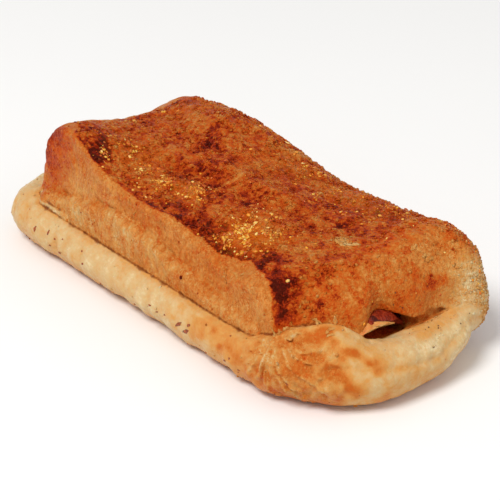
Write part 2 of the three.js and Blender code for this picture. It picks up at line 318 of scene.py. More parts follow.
def creases(x, y, z):
    """Distance from the seam between the base and what lies on it, and from the sliver's upper edge."""
    lower, upper = base(x, y, z), upper_layer(x, y, z)
    seam = np.maximum(np.abs(lower - upper), np.maximum(lower, upper) - SEAM_REACH)
    over_sliver = np.abs(lower - SLIVER["width"]) + FAR * (1 - sliver_share(x)) + FAR * ramp(0.3, 1.0, upper)
    closed = FAR * ramp(*FOLD_SEAM_Y, y)
    return np.minimum(np.minimum(seam + closed, over_sliver), FAR)


def sliver_share(x):
    return ramp(SLIVER["x0"], SLIVER["x1"], x) * ramp(SLIVER["x3"], SLIVER["x2"], x)


def places(p):
    """What says which surface of the dough each point belongs to: shares from 0 to 1, and distances."""
    x, y, z = p.T
    lower, upper = base(x, y, z), upper_layer(x, y, z)
    on_upper = ramp(-0.4, 0.4, lower - upper)
    cut = np.maximum(cut_side(x, y, z), far_side(x, y, z))
    wobble = EDGE_WOBBLE * (noise(p, 6, 11) + 0.6 * noise(p, 2.6, 12))
    wobble = wobble + np.interp(x, *np.transpose(EDGE_RISE))
    rolled = ramp(0.6, -0.6, np.abs(band(x, y, z)) - 0.4) * on_upper
    thin = ramp(SLIVER["width"], SLIVER["width"] - 0.4, lower) * sliver_share(x) * on_upper
    edge = np.maximum(cut - lid(x, y, z) + wobble, mix(-FAR, FAR, np.maximum(rolled, thin)))
    edge = mix(-FAR, np.clip(edge, -FAR, FAR), on_upper)
    on_cut = ramp(-0.5, 0.5, edge)
    return dict(
        upper=on_upper,
        cut=on_cut,
        top=on_upper * (1 - on_cut),
        band=rolled,
        sliver=thin,
        edge=edge,
        crease=creases(x, y, z),
        lip=ramp(-15, -1.5, lip(x, y, z)) * on_upper * (1 - on_cut),
        # inside: the slit's hollow under the tongue, which the crust's colour fills with painted shade.
        inside=ramp(1.2, -0.6, slit(x, y, z)) * ramp(68, 64, x) * ramp(8, 3, y),
    )


# ---- relief ----
LUMPS, MIDDLE, SMALL, FINE = (13, 21), (5.2, 22), (2.6, 23), (1.5, 24)  # noises: size and seed
SEAM_WIDTH, SEAM_DEPTH = 1.0, 0.15
CURL_WIDTH = 1.2  # of the base's edge beside the seam
LAYER_LINE_WIDTH, LAYER_LINE_DEPTH = 0.8, 0.5
LAYER_LINE = [  # along Y: height of the line between two layers, round the open end
    (-30, 9.0), (-24, 13.5), (-20, 15.0), (-14, 13.5), (-7, 12.0), (7, 11.0), (20, 15.0), (28, 13.0),
]
# Long soft folds of the top: middle along X and Y, half length, half width, turn in degrees and height.
TOP_FOLDS = [
    (-14, -4, 20, 3.0, 12, -1.0),
    (-12, 3, 22, 3.2, 10, 0.7),
    (6, -2, 26, 2.6, 8, -0.7),
    (8, 6, 24, 3.0, 6, 0.7),
    (-34, 20, 16, 2.6, -20, 0.6),
    (-38, 12, 18, 3.0, -14, -0.8),
    (28, 6, 18, 2.8, 12, -0.7),
    (44, 4, 9, 2.4, 60, 0.6),
    (30, 18, 18, 3.0, 4, -0.5),
    (-44, -8, 14, 3.0, 30, -0.8),
]
NOTCH = np.array([51.0, -27.0, 19.0])  # the near corner's creases run out from here
CORNER, CORNER_REACH = (60.0, -29.0, 12.0), (17.0, 13.0, 12.0)


def strokes(rows, x, y):
    """Sum of long soft strokes, seen from above."""
    total = np.zeros(len(x))
    for cx, cy, half_length, half_width, turn, height in rows:
        c, s = math.cos(math.radians(turn)), math.sin(math.radians(turn))
        along = (x - cx) * c + (y - cy) * s
        across = (y - cy) * c - (x - cx) * s
        total += height * hump(along, 0, half_length) * hump(across, 0, half_width)
    return total


def near_corner(p):
    """1 on the blistered near corner of the base, falling to 0 round it."""
    away = np.linalg.norm((p - CORNER) / CORNER_REACH, axis=1)
    return ramp(1.25, 0.55, away)


def ridges(field):
    """Noise turned into narrow crests, 1 on a crest and 0 between."""
    return np.clip(1 - 3 * np.abs(field), 0, 1)


def rim_wrinkles(p):
    """Soft upright wrinkles of the rim."""
    x, y, z = p.T
    return upright(x + 0.12 * noise(p, *LUMPS) * z, y, z, (2.4, 7.0, 9.0), 30)


def corner_ridges(p):
    """Crests that run out from the notch over the near corner, 1 on a crest."""
    x, y, z = (p - NOTCH).T
    turn = np.arctan2(z, x + 0.4 * y) * 7
    away = 0.10 * np.sqrt(x * x + y * y + z * z)
    return ridges(upright(turn + 0.7 * noise(p, *MIDDLE), away, 0 * x, 1.0, 29))


def layer_line(p):
    """Height above the groove that runs along the base's rim at the open end."""
    x, y, z = p.T
    height = np.interp(y, *np.transpose(LAYER_LINE)) + 0.5 * noise(p, 7, 33)
    return np.where(x > 62, z - height, FAR) + FAR * ramp(68, 64, x)


def relief(p):
    """How far the surface stands out from the plain form, in millimetres."""
    x, y, z = p.T
    at = places(p)
    lumps, middle, small, fine = (noise(p, *kind) for kind in (LUMPS, MIDDLE, SMALL, FINE))
    low, leaning = 1 - at["upper"], x + 0.5 * z + 0.8 * small
    fibres = upright(leaning, y, z, (1.6, 4.0, 8.0), 25)
    fine_fibres = upright(leaning, y, z, (1.1, 3.0, 5.0), 26)
    layers = upright(x, y, z + 1.2 * lumps, (22, 6.0, 1.9), 27)
    puffy = upright(x + 0.35 * z, y, z, (3.4, 9, 9), 28)
    wander = upright(x, y, z, (7, 20, 20), 31) + 0.5 * upright(x, y, z, (2.5, 9, 9), 32)

    top = 0.5 * lumps + 0.45 * middle + 0.5 * small + 0.5 * fine + strokes(TOP_FOLDS, x, y)
    cut = 0.5 * lumps + 0.4 * middle + 0.3 * small + 0.28 * fibres + 0.2 * fine_fibres + 0.2 * layers
    roll = 0.9 * puffy + 0.5 * fibres + 0.3 * fine_fibres + 0.2 * middle
    rim = 0.5 * lumps + 0.4 * middle + 0.26 * small + 0.14 * fine + 0.4 * rim_wrinkles(p) * ramp(74, 55, x)
    smooth_lip = 0.3 * lumps + 0.26 * middle + 0.12 * small
    blisters = 0.7 * middle + 0.4 * small + 0.3 * fine + 1.5 * corner_ridges(p) - 0.6

    out = mix(rim, blisters, near_corner(p) * low)
    out = mix(out, mix(top, smooth_lip, at["lip"]), at["top"])
    out = mix(out, mix(cut, roll, at["band"]), at["cut"])
    curl = hump(at["crease"], 2.0, CURL_WIDTH) * low * (0.45 + 0.6 * wander)
    out = out + curl + SLIVER["thick"] * at["sliver"] - SEAM_DEPTH * hump(at["crease"], 0, SEAM_WIDTH)
    out = out - LAYER_LINE_DEPTH * hump(layer_line(p), 0, LAYER_LINE_WIDTH) * low
    return out * ramp(0, 3.0, z)


# ---- from distance to mesh ----
def grid_lines():
    return [np.arange(low, high + GRID_STEP, GRID_STEP) for low, high in GRID_BOX]


def sampled(distance, lines):
    """The distance at every grid point, a slab at a time."""
    x, y, z = lines
    yy, zz = np.meshgrid(y, z, indexing="ij")
    return np.stack([distance(np.full(yy.size, one), yy.ravel(), zz.ravel()).reshape(yy.shape) for one in x])


def untangled(field):
    """The field, with grid points that touch inside only across a square's diagonal joined by a third."""
    field = field.copy()
    for _ in range(UNTANGLE_ROUNDS):
        found = 0
        for u, v in itertools.combinations(range(3), 2):
            shifts = np.zeros((4, 3), int)
            shifts[:, u] = (0, 1, 1, 0)
            shifts[:, v] = (0, 0, 1, 1)
            ends = np.array(field.shape) - shifts[2]
            a, b, c, d = (field[tuple(slice(s, s + e) for s, e in zip(shift, ends))] < 0 for shift in shifts)
            crossed = np.argwhere((a == c) & (b == d) & (a != b))
            found += len(crossed)
            corners = crossed[:, None] + shifts
            values = field[tuple(np.moveaxis(corners, -1, 0))]
            nearest = np.where(values < 0, np.inf, values).argmin(1)
            field[tuple(corners[np.arange(len(crossed)), nearest].T)] = JOINED
        if not found:
            break
    return field


def surface_of(field, lines):
    """Points and four-cornered faces where the field is zero, with one point in each cell that it crosses."""
    inside = field < 0
    shape = np.array(field.shape)
    strides = np.array([shape[1] * shape[2], shape[2], 1])
    sums = np.zeros((field.size, 3))
    counts = np.zeros(field.size)
    crossings = []
    for axis in range(3):
        low = [slice(None)] * 3
        high = [slice(None)] * 3
        low[axis], high[axis] = slice(0, -1), slice(1, None)
        low, high = tuple(low), tuple(high)
        cells = np.argwhere(inside[low] != inside[high])
        step = np.eye(3, dtype=int)[axis]
        a, b = field[tuple(cells.T)], field[tuple((cells + step).T)]
        points = np.stack([lines[k][cells[:, k]] for k in range(3)], 1)
        points[:, axis] += (a / (a - b)) * (lines[axis][cells[:, axis] + 1] - lines[axis][cells[:, axis]])
        u, v = strides[(axis + 1) % 3], strides[(axis + 2) % 3]
        here = cells @ strides
        ring = np.stack([here - u - v, here - v, here, here - u], 1)
        for k in range(4):
            counts += np.bincount(ring[:, k], minlength=field.size)
            for c in range(3):
                sums[:, c] += np.bincount(ring[:, k], weights=points[:, c], minlength=field.size)
        ring[a > 0] = ring[a > 0][:, ::-1]
        crossings.append(ring)
    used = np.flatnonzero(counts)
    number = np.full(field.size, -1)
    number[used] = np.arange(len(used))
    return sums[used] / counts[used, None], number[np.concatenate(crossings)]


def mesh_object(name, points, faces, attributes=None, smooth=True):
    """A mesh from points in the form's millimetres, with one number a point for each attribute."""
    mesh = bpy.data.meshes.new(name)
    sides = faces.shape[1]
    mesh.vertices.add(len(points))
    mesh.vertices.foreach_set("co", ((points - CENTRE) * MM).ravel())
    mesh.loops.add(faces.size)
    mesh.loops.foreach_set("vertex_index", faces.ravel())
    mesh.polygons.add(len(faces))
    mesh.polygons.foreach_set("loop_start", np.arange(0, faces.size, sides))
    mesh.polygons.foreach_set("use_smooth", np.full(len(faces), smooth))
    mesh.update(calc_edges=True)
    mesh.validate()
    piece = in_scene(name, mesh)
    set_attributes(piece, attributes or {})
    return piece


def in_scene(name, data):
    thing = bpy.data.objects.new(name, data)
    bpy.context.scene.collection.objects.link(thing)
    return thing


def set_attributes(piece, attributes):
    """One number a point for each name."""
    for key, values in attributes.items():
        layer = piece.data.attributes.new(key, "FLOAT", "POINT")
        layer.data.foreach_set("value", values.astype(np.float32))


def points_of(piece):
    """A piece's points in the form's millimetres."""
    flat = np.zeros(len(piece.data.vertices) * 3)
    piece.data.vertices.foreach_get("co", flat)
    return flat.reshape(-1, 3) / MM + CENTRE


def thin_out(piece, hidden, keep):
    """Fewer faces on the hidden points, and none taken elsewhere."""
    group = piece.vertex_groups.new(name="hidden")
    group.add(np.flatnonzero(hidden).tolist(), 1.0, "REPLACE")
    decimate = piece.modifiers.new("thin_out", "DECIMATE")
    decimate.ratio = keep
    decimate.vertex_group = "hidden"
    decimate.vertex_group_factor = 1.0
    with bpy.context.temp_override(object=piece, active_object=piece, selected_objects=[piece]):
        bpy.ops.object.modifier_apply(modifier="thin_out")
    piece.vertex_groups.clear()


def make_pastry():
    lines = grid_lines()
    field = sampled(dough, lines)
    near = np.argwhere(np.abs(field) < RELIEF_REACH)
    p = np.stack([lines[k][near[:, k]] for k in range(3)], 1)
    field[tuple(near.T)] -= relief(p)
    field = np.maximum(field, np.broadcast_to(-lines[2], field.shape))
    field = np.maximum(field, -sampled(pocket, lines))
    points, faces = surface_of(untangled(field), lines)
    piece = mesh_object("pastry_crust", points, faces)
    inside = (pocket(*points.T) < POCKET_SKIN) & (points[:, 0] < SEEN_X)
    thin_out(piece, inside | (points[:, 2] < UNDERSIDE_Z), HIDDEN_KEEP)
    return piece


# ---- colour by place ----
# Patches of the top that are more or less baked: middle, reach and change. 0 is raw cream, 1 is burnt.
TOP_PATCHES = [
    ((37, -19.5, 30), (5, 5, 5), 0.22),
    ((45.5, -21, 28), (4, 4.5, 4.5), 0.34),
    ((50.5, -24, 23), (3, 3, 4), 0.30),
    ((44, -24, 27), (2, 2, 3), -0.16),
    ((49.5, -21.5, 25), (2, 2, 2), -0.18),
    ((20, -23, 29), (7, 4, 5), 0.10),
    ((6, -23, 32), (8, 4, 5), 0.10),
    ((-38, -22, 38), (10, 5, 6), 0.11),
    ((-47, -20, 41), (8, 7, 4), 0.07),
    ((2, -3, 35), (11, 5, 5), 0.11),
    ((-14, -1, 35), (9, 3.5, 5), 0.10),
    ((-18, 9, 36), (10, 6, 5), 0.07),
    ((-30, 29, 36), (12, 3, 6), 0.08),
    ((40, 12, 34), (8, 7, 5), 0.05),
    ((-37, 14, 38), (12, 7, 4), -0.15),
    ((43.5, 3, 33.5), (3.2, 1.7, 3), -0.42),
    ((63, 19, 33), (5, 5, 5), -0.16),
    ((51, -10, 31), (5, 4, 4), 0.12),
    ((67, 12, 26), (5, 6, 2.5), 0.16),
    ((66, 5, 24), (4, 4, 2.5), 0.08),
    ((70, 14, 18.5), (4, 8, 1.8), -0.18),
    ((73, 26, 26), (5, 6, 8), -0.16),
    ((57, -15, 25), (6, 5, 4), 0.06),
    ((61, -9, 25), (4, 4, 3), 0.08),
    ((20, -6, 34), (10, 5, 5), -0.03),
]
SIDE_PATCHES = [
    ((-59, -26, 34), (6, 7, 9), 0.27),
    ((-52, -26, 40), (9, 6, 5), 0.20),
    ((-50, -26, 33), (5, 4, 6), 0.06),
    ((-52, -26, 25), (6, 4, 5), 0.10),
    ((-12, -28, 25), (12, 4, 3), -0.07),
    ((-30, -28, 22), (14, 4, 3), -0.03),
    ((30, -24, 27), (9, 6, 4), 0.03),
    ((46, -27, 21), (5, 4, 4), 0.02),
]
BASE_PATCHES = [
    ((60, -32, 9), (3, 3, 3), 0.2),
    ((52, -33, 15), (3, 3, 3), -0.12),
    ((66, -28, 5), (3, 3, 3), -0.1),
    ((64, -20, 19), (6, 5, 4), 0.42),
    ((70, -18, 8), (7, 6, 6), 0.16),
    ((70, -10, 7), (12, 8, 4), 0.06),
    ((76, 8, 6), (6, 20, 4), 0.12),
    ((63, -29, 12), (3, 3, 3), 0.12),
    ((68, -18, 17), (5, 2, 3), 0.16),
    ((72, -15.5, 15), (3.5, 2, 2), 0.20),
    ((79, 4, 10), (4, 9, 2), 0.10),
    ((70.3, -17.9, 17.4), (3.5, 2, 2), 0.3),
    ((74.8, -13.8, 14.4), (3.5, 2, 1.6), 0.3),
    ((75, -17, 12), (6, 6, 5), 0.12),
    ((57.7, -33, 9.6), (2, 3, 2), 0.3),
    ((32, -34, 12), (7, 3, 4), 0.32),
    ((17, -34, 10), (9, 3, 5), 0.07),
    ((-36, -34, 10), (8, 3, 5), 0.06),
    ((44, -34, 10), (8, 3, 5), 0.16),
    ((75, 12, 15), (3, 2, 3), 0.08),
    ((-66, -31, 12), (6, 4, 4), 0.05),
]
GOLD_PATCHES = [  # where the crust is golden
    ((22, -13, 32), (7, 7, 6), 1.1),
    ((-9, -13, 34), (7, 5, 5), 0.7),
    ((-32, -11, 37), (9, 6, 6), 0.7),
    ((31, 24, 32), (18, 5, 5), 0.6),
    ((2, 22, 34), (10, 6, 5), 0.4),
    ((-2, 12, 35), (8, 6, 5), 0.3),
    ((-45, 20, 35), (8, 8, 5), 0.4),
]


def patches(rows, p):
    total = np.zeros(len(p))
    for middle, reach, change in rows:
        total += change * np.exp(-(((p - middle) / reach) ** 2).sum(1))
    return total


def base_bake(p, at, wide, mid, near):
    """How far the base is baked: pale, darker along its foot, and blotched on its near corner, with painted
    light and shade on its wrinkles and painted shade along the seam and deeper in the slit.
    """
    x, y, z = p.T
    corner = near_corner(p)
    # Painted light and shade: the rim's wrinkles are paler on their crests and darker between them, from the
    # field that gives their relief.
    bake = 0.15 + 0.05 * wide + 0.05 * mid + 0.03 * near - 0.05 * rim_wrinkles(p) * ramp(74, 55, x)
    bake += 0.22 * ramp(6.0, 0.5, z) + 0.35 * corner * (0.85 + 0.4 * mid + 0.5 * near)
    bake += 0.12 * ramp(10, 30, y) * ramp(70, 50, x)
    bake += 0.12 * ramp(20, 38, x) * ramp(-20, -30, y) * (1 - corner)
    bake += 0.08 * hump(layer_line(p), -0.3, 0.8) + 0.24 * corner * (0.4 - corner_ridges(p))
    uneven = np.clip(0.8 + 0.9 * mid + 1.2 * near, 0.35, 2.0)
    # The first term is painted shade: darker along the seam's crevice.
    bake += 0.12 * hump(at["crease"], 0, 1.5) + patches(BASE_PATCHES, p) * uneven
    # Painted shade: right of the ham the slit's floor is pale tan at its mouth and browner deeper in.
    in_slit = ramp(1.0, 0.0, slit(x, y, z)) * ramp(0, 6, y)
    return mix(np.minimum(bake, 0.60), 0.30 + 0.3 * ramp(68, 60, x), in_slit)


def top_bake(p, slope, wide, mid, near):
    """How far the top is baked: brown, tan on the slope to the opening, and pale down the fold, with painted
    light and shade on its lumps.
    """
    x, y, z = p.T
    blotches = ramp(0.0, 0.55, 0.6 * mid + 0.6 * near)
    fold_low = ramp(33, 18, z) * ramp(22, 34, y)
    veins = ridges(noise(p, (3.4, 5.0, 4.0), 44)) * ramp(-0.3, 0.4, mid)
    # Painted light and shade: the relief's small and fine lumps are paler on their crests and browner in
    # their pits.
    bake = 0.70 + 0.07 * wide + 0.11 * mid + 0.05 * near - 0.07 * noise(p, *SMALL) - 0.06 * noise(p, *FINE)
    tan = 0.58 + 0.11 * blotches - 0.13 * veins + 0.07 * ramp(66, 70, x) * ramp(16, 8, y)
    bake = mix(bake, tan, slope)
    bake = mix(bake, 0.38 + 0.05 * mid + 0.04 * wide, fold_low * (1 - slope))
    bake = mix(bake, 0.30 + 0.05 * mid, ramp(62, 72, x) * ramp(15, 26, y) * ramp(35, 27, z))
    return bake + patches(TOP_PATCHES, p) * (1 + 0.5 * mid + 0.7 * near)


def side_bake(p, at, wide, mid, near):
    """How far the cut side is baked: tan, with a paler roll and sliver at its foot."""
    on_roll = band(*p.T)
    bake = 0.53 + 0.05 * wide + 0.07 * mid + 0.05 * near
    roll = 0.43 + 0.05 * wide + 0.06 * mid + 0.04 * near
    step = hump(flap(*p.T) - on_roll, 0, 0.9) * ramp(1.5, 0.5, np.abs(on_roll))
    bake = mix(bake, roll, at["band"]) + patches(SIDE_PATCHES, p) + 0.10 * step
    return mix(bake, 0.22 + 0.06 * near, at["sliver"])


def crust_looks(p):
    """Numbers a point for the crust's material. Edge and crease are in millimetres."""
    x, y, z = p.T
    at = places(p)
    tones = noise(p, 16, 41), noise(p, 6, 42), noise(p, 2.4, 43)
    slope = ramp(49, 60, x + 4 * tones[1] + 3 * tones[2] - 0.1 * y)
    bake = mix(base_bake(p, at, *tones), top_bake(p, slope, *tones), at["upper"])
    blistered = near_corner(p) * (1 - at["upper"])
    grainy = (1 - 0.55 * ramp(46, 56, x) - 0.3 * ramp(60, 66, x)) * ramp(16, 26, z)
    return dict(
        # Painted shade: inside the slit, under the tongue, the dough is coloured dark red-brown like shaded
        # ham.
        bake=np.clip(mix(bake, 0.84, 0.9 * at["inside"]), 0, 1.05),
        side=np.clip(side_bake(p, at, *tones), 0, 1.05),
        edge=at["edge"],
        crease=at["crease"],
        gold=np.clip(patches(GOLD_PATCHES, p) * at["top"], 0, 1),
        grainy=np.clip(at["top"] * grainy, 0, 1),
        fibrous=np.clip(at["cut"] + 0.7 * blistered + 0.8 * slope * at["top"], 0, 1),
        streaky=np.clip(at["band"] * ramp(0.3, 1.2, at["crease"]), 0, 1),
    )


# ---- materials ----
def linear(red, green, blue):
    """A screen colour, 0 to 255, as the shader's own numbers."""
    return [((c / 255 + 0.055) / 1.055) ** 2.4 if c > 10 else c / 3294.6 for c in (red, green, blue)] + [1.0]


class Nodes:
    """Short calls for building one material's node tree."""

    def __init__(self, name):
        self.material = bpy.data.materials.new(name)
        self.material.use_nodes = True
        self.tree = self.material.node_tree
        self.shader = self.tree.nodes["Principled BSDF"]
        self.place = self.add("ShaderNodeTexCoord").outputs["Object"]

    def add(self, kind, inputs=None, **settings):
        node = self.tree.nodes.new(kind)
        for key, value in settings.items():
            setattr(node, key, value)
        for key, value in (inputs or {}).items():
            self.set(node, key, value)
        return node

    def set(self, node, key, value):
        socket = node.inputs[key]
        if isinstance(value, bpy.types.NodeSocket):
            self.tree.links.new(value, socket)
        else:
            socket.default_value = value

    def math(self, operation, a, b=0.0):
        return self.add("ShaderNodeMath", {0: a, 1: b}, operation=operation).outputs[0]

    def plus(self, a, b):
        return self.math("ADD", a, b)

    def times(self, a, b):
        return self.math("MULTIPLY", a, b)

    def span(self, value, low, high, to_low=0.0, to_high=1.0):
        inputs = {"Value": value, "From Min": low, "From Max": high, "To Min": to_low, "To Max": to_high}
        return self.add("ShaderNodeMapRange", inputs, clamp=True).outputs[0]

    def spread(self, noise, to_low, to_high):
        """A noise's usual reach, spread from one number to another."""
        return self.span(noise, 0.3, 0.7, to_low, to_high)

    def between(self, share, a, b):
        """From a to b, as share runs from 0 to 1."""
        return self.plus(a, self.times(share, self.math("SUBTRACT", b, a)))

    def stretched(self, scale, turn=(0.0, 0.0, 0.0)):
        inputs = {"Vector": self.place, "Scale": scale, "Rotation": turn}
        return self.add("ShaderNodeMapping", inputs).outputs[0]

    def noise(self, scale, detail=2.0, roughness=0.5, distortion=0.0, vector=None):
        inputs = {
            "Vector": vector or self.place,
            "Scale": scale,
            "Detail": detail,
            "Roughness": roughness,
            "Distortion": distortion,
        }
        return self.add("ShaderNodeTexNoise", inputs).outputs[0]

    def cells(self, scale):
        inputs = {"Vector": self.place, "Scale": scale}
        return self.add("ShaderNodeTexVoronoi", inputs).outputs["Distance"]

    def shaken(self, reach, scale):
        """The place, pushed about by noise, in metres."""
        inputs = {"Vector": self.place, "Scale": scale, "Detail": 2.0}
        noise = self.add("ShaderNodeTexNoise", inputs).outputs["Color"]
        push = self.add("ShaderNodeVectorMath", {0: noise, "Scale": reach}, operation="SCALE").outputs[0]
        return self.add("ShaderNodeVectorMath", {0: self.place, 1: push}, operation="ADD").outputs[0]

    def cell_tone(self, scale, vector):
        """A random number for each cell of an uneven honeycomb."""
        colour = self.add("ShaderNodeTexVoronoi", {"Vector": vector, "Scale": scale}).outputs["Color"]
        return self.add("ShaderNodeSeparateColor", {0: colour}).outputs[0]

    def attribute(self, name):
        return self.add("ShaderNodeAttribute", attribute_name=name).outputs["Fac"]

    def ramp(self, value, stops):
        node = self.add("ShaderNodeValToRGB", {"Fac": value})
        elements = node.color_ramp.elements
        for k, (at, colour) in enumerate(stops):
            element = elements[k] if k < 2 else elements.new(at)
            element.position = at
            element.color = linear(*colour)
        return node.outputs["Color"]

    def blend(self, share, a, b):
        node = self.add("ShaderNodeMix", data_type="RGBA", blend_type="MIX")
        self.set(node, 0, share)
        self.set(node, 6, a)
        self.set(node, 7, b)
        return node.outputs[2]

    def bump(self, height, depth, strength=1.0):
        inputs = {"Height": height, "Distance": depth, "Strength": strength}
        return self.add("ShaderNodeBump", inputs).outputs[0]

    def finish(self, colour, roughness, normal=None, **constants):
        self.set(self.shader, "Base Color", colour)
        self.set(self.shader, "Roughness", roughness)
        if normal is not None:
            self.set(self.shader, "Normal", normal)
        for key, value in constants.items():
            label = key.replace("_", " ").title().replace("Ior", "IOR")
            self.shader.inputs[label].default_value = value
        return self.material


BAKE_COLOURS = [  # from raw cream to burnt
    (0.0, (228, 207, 163)),
    (0.13, (208, 175, 124)),
    (0.30, (206, 148, 80)),
    (0.45, (201, 126, 58)),
    (0.57, (190, 103, 36)),
    (0.70, (190, 78, 16)),
    (0.80, (164, 50, 8)),
    (0.90, (124, 22, 4)),
    (1.0, (74, 6, 2)),
]
# Painted shade: the dark brown of the seam's crevice.
SEAM_SHADE_COLOUR = (118, 50, 14)
GOLD_COLOUR = (224, 122, 22)


def crust_material():
    n = Nodes("baked_crust")
    grainy, fibrous = n.attribute("grainy"), n.attribute("fibrous")
    coarse = n.noise(330, detail=3, roughness=0.6)
    fine = n.noise(1150, detail=3, roughness=0.65)
    leaning = n.stretched((1100, 800, 420), (0, 0.5, 0))
    threads = n.noise(1, detail=3, roughness=0.6, distortion=1.2, vector=leaning)
    curls = n.noise(520, distortion=2.2)
    striae = n.noise(1, distortion=0.6, vector=n.stretched((430, 300, 90), (0, 0.35, 0)))
    grain = n.cell_tone(820, n.shaken(0.0006, 900))
    flecks = n.cells(900)

    edge = n.plus(n.attribute("edge"), n.spread(coarse, -0.6, 0.6))
    bake = n.between(n.span(edge, -0.3, 0.3), n.attribute("bake"), n.attribute("side"))
    rim_line = n.span(n.math("ABSOLUTE", n.plus(edge, 0.7)), 0.0, 1.1, 0.08, 0.0)

    granular = n.plus(n.spread(fine, -0.11, 0.11), n.span(grain, 0.0, 1.0, -0.11, 0.11))
    mottle = n.plus(n.spread(coarse, -0.1, 0.1), granular)
    mottle = n.times(mottle, n.span(grainy, 0, 1, 0.3, 1.0))
    streaks = n.plus(n.span(threads, 0.35, 0.7, 0.06, -0.09), n.span(striae, 0.38, 0.62, 0.07, -0.09))
    streaks = n.times(streaks, n.span(n.attribute("streaky"), 0, 1, 0.25, 1.0))
    clouds = n.plus(n.spread(coarse, -0.09, 0.09), n.spread(fine, -0.05, 0.05))
    lines = n.span(n.math("ABSOLUTE", n.math("SUBTRACT", curls, 0.5)), 0.0, 0.045, -0.30, 0.0)
    lines = n.times(lines, n.span(coarse, 0.44, 0.56))
    strands = n.times(n.plus(n.plus(streaks, clouds), lines), fibrous)
    baked = n.plus(n.plus(bake, n.times(rim_line, grainy)), n.plus(mottle, strands))
    colour = n.ramp(baked, BAKE_COLOURS)

    bright = n.span(n.plus(fine, n.span(grain, 0, 1, -0.12, 0.12)), 0.45, 0.6)
    golden = n.times(n.attribute("gold"), bright)
    colour = n.blend(n.times(golden, 0.65), colour, linear(*GOLD_COLOUR))
    # Painted shade: a dark brown line along the seam and over the sliver's upper edge.
    crease = n.plus(n.attribute("crease"), n.spread(coarse, -0.4, 0.6))
    colour = n.blend(n.span(crease, 0.1, 0.7, 0.85, 0.0), colour, linear(*SEAM_SHADE_COLOUR))

    height = n.plus(n.times(n.math("SUBTRACT", 1.0, flecks), 0.6), n.times(fine, 0.9))
    height = n.times(height, n.span(grainy, 0, 1, 0.2, 1.0))
    height = n.plus(height, n.times(threads, n.times(fibrous, 0.7)))
    return n.finish(
        colour,
        n.spread(fine, 0.32, 0.52),
        n.bump(height, 0.001, 1.0),
        subsurface_weight=0.1,
        subsurface_scale=0.0012,
        specular_ior_level=0.2,
        specular_tint=(1.0, 0.5, 0.2, 1.0),
    )


# ---- the dough's skin, where small things lie ----
OPEN_ABOVE, OPEN_FROM_POCKET, OPEN_INSIDE = 0.6, 0.8, 0.3  # small things lie beyond these


class Skin:
    """The dough's finished surface as triangles, with what lies where on it."""

    def __init__(self, piece):
        self.points = points_of(piece)
        mesh = piece.data
        mesh.calc_loop_triangles()
        corners = np.zeros(len(mesh.loop_triangles) * 3, np.int64)
        mesh.loop_triangles.foreach_get("vertices", corners)
        self.corners = corners.reshape(-1, 3)
        a, b, c = (self.points[self.corners[:, k]] for k in range(3))
        cross = np.cross(b - a, c - a)
        size = np.linalg.norm(cross, axis=1)
        self.area = size / 2
        self.normal = cross / np.maximum(size, 1e-9)[:, None]
        self.middle = (a + b + c) / 3
        self.at = places(self.middle)
        self.open = self.middle[:, 2] > OPEN_ABOVE
        self.open &= (pocket(*self.middle.T) > OPEN_FROM_POCKET) & (self.at["inside"] < OPEN_INSIDE)
        self.tree = BVHTree.FromPolygons(self.points.tolist(), self.corners.tolist())

    def scattered(self, density, count, rng):
        """Random spots, with their normals, as dense as the given share for each triangle says."""
        chance = density * self.area * self.open
        chosen = rng.choice(len(chance), count, p=chance / chance.sum())
        u, v = rng.random(count), rng.random(count)
        over = u + v > 1
        u, v = np.where(over, 1 - u, u), np.where(over, 1 - v, v)
        a, b, c = (self.points[self.corners[chosen, k]] for k in range(3))
        return a + (b - a) * u[:, None] + (c - a) * v[:, None], self.normal[chosen]

    def hit(self, start, towards):
        """The first spot on the skin from a point in a direction, and its normal."""
        place, normal, _, _ = self.tree.ray_cast(Vector(start), Vector(towards))
        return np.array(place), np.array(normal)

    def from_side(self, x, z):
        """The spot that shows at X and Z from the cut side, and its normal."""
        return self.hit((x, -60, z), (0, 1, 0))


# ---- small things on the crust ----
LOWEST = 0.02  # millimetres above the underside, which nothing small reaches below
CHEESE_COUNT, BROWN_COUNT, SPECK_COUNT, PEPPER_COUNT = 1700, 9000, 130, 40
RIM_SPECK_THICK = 0.16


def ball(detail):
    """Points and triangles of a round form about the origin, of radius 1."""
    mesh = bpy.data.meshes.new("ball")
    form = bmesh.new()
    bmesh.ops.create_icosphere(form, subdivisions=detail, radius=1.0)
    form.to_mesh(mesh)
    form.free()
    points = np.array([v.co for v in mesh.vertices])
    faces = np.array([f.vertices for f in mesh.polygons])
    bpy.data.meshes.remove(mesh)
    return points, faces


def frames(normals, rng):
    """Three unit directions for each normal: two along the surface, turned at random, and the normal."""
    other = rng.normal(size=normals.shape)
    first = np.cross(normals, other)
    first /= np.linalg.norm(first, axis=1)[:, None]
    return first, np.cross(normals, first), normals


def grains(spots, normals, radii, rng, detail=1, long=1.3, flat=0.8, rough=0.22, sink=0.35):
    """Uneven lumps that reach a little into the surface: points, faces and each point's grain."""
    form, faces = ball(detail)
    count = len(spots)
    shape = form[None] * (1 + rng.uniform(-rough, rough, (count, len(form), 1)))
    sizes = [rng.uniform(1, long, count), rng.uniform(0.8, 1, count), np.full(count, flat)]
    shape = shape * (radii[:, None] * np.stack(sizes, 1))[:, None]
    first, second, up = frames(normals, rng)
    lean = up + 0.35 * rng.normal(size=up.shape)
    lean /= np.linalg.norm(lean, axis=1)[:, None]
    points = shape[..., :1] * first[:, None] + shape[..., 1:2] * second[:, None]
    points = points + shape[..., 2:] * lean[:, None]
    points += (spots + normals * (radii * flat * (1 - 2 * sink))[:, None])[:, None]
    faces = faces[None] + np.arange(count)[:, None, None] * len(form)
    return points.reshape(-1, 3), faces.reshape(-1, 3), np.repeat(np.arange(count), len(form))


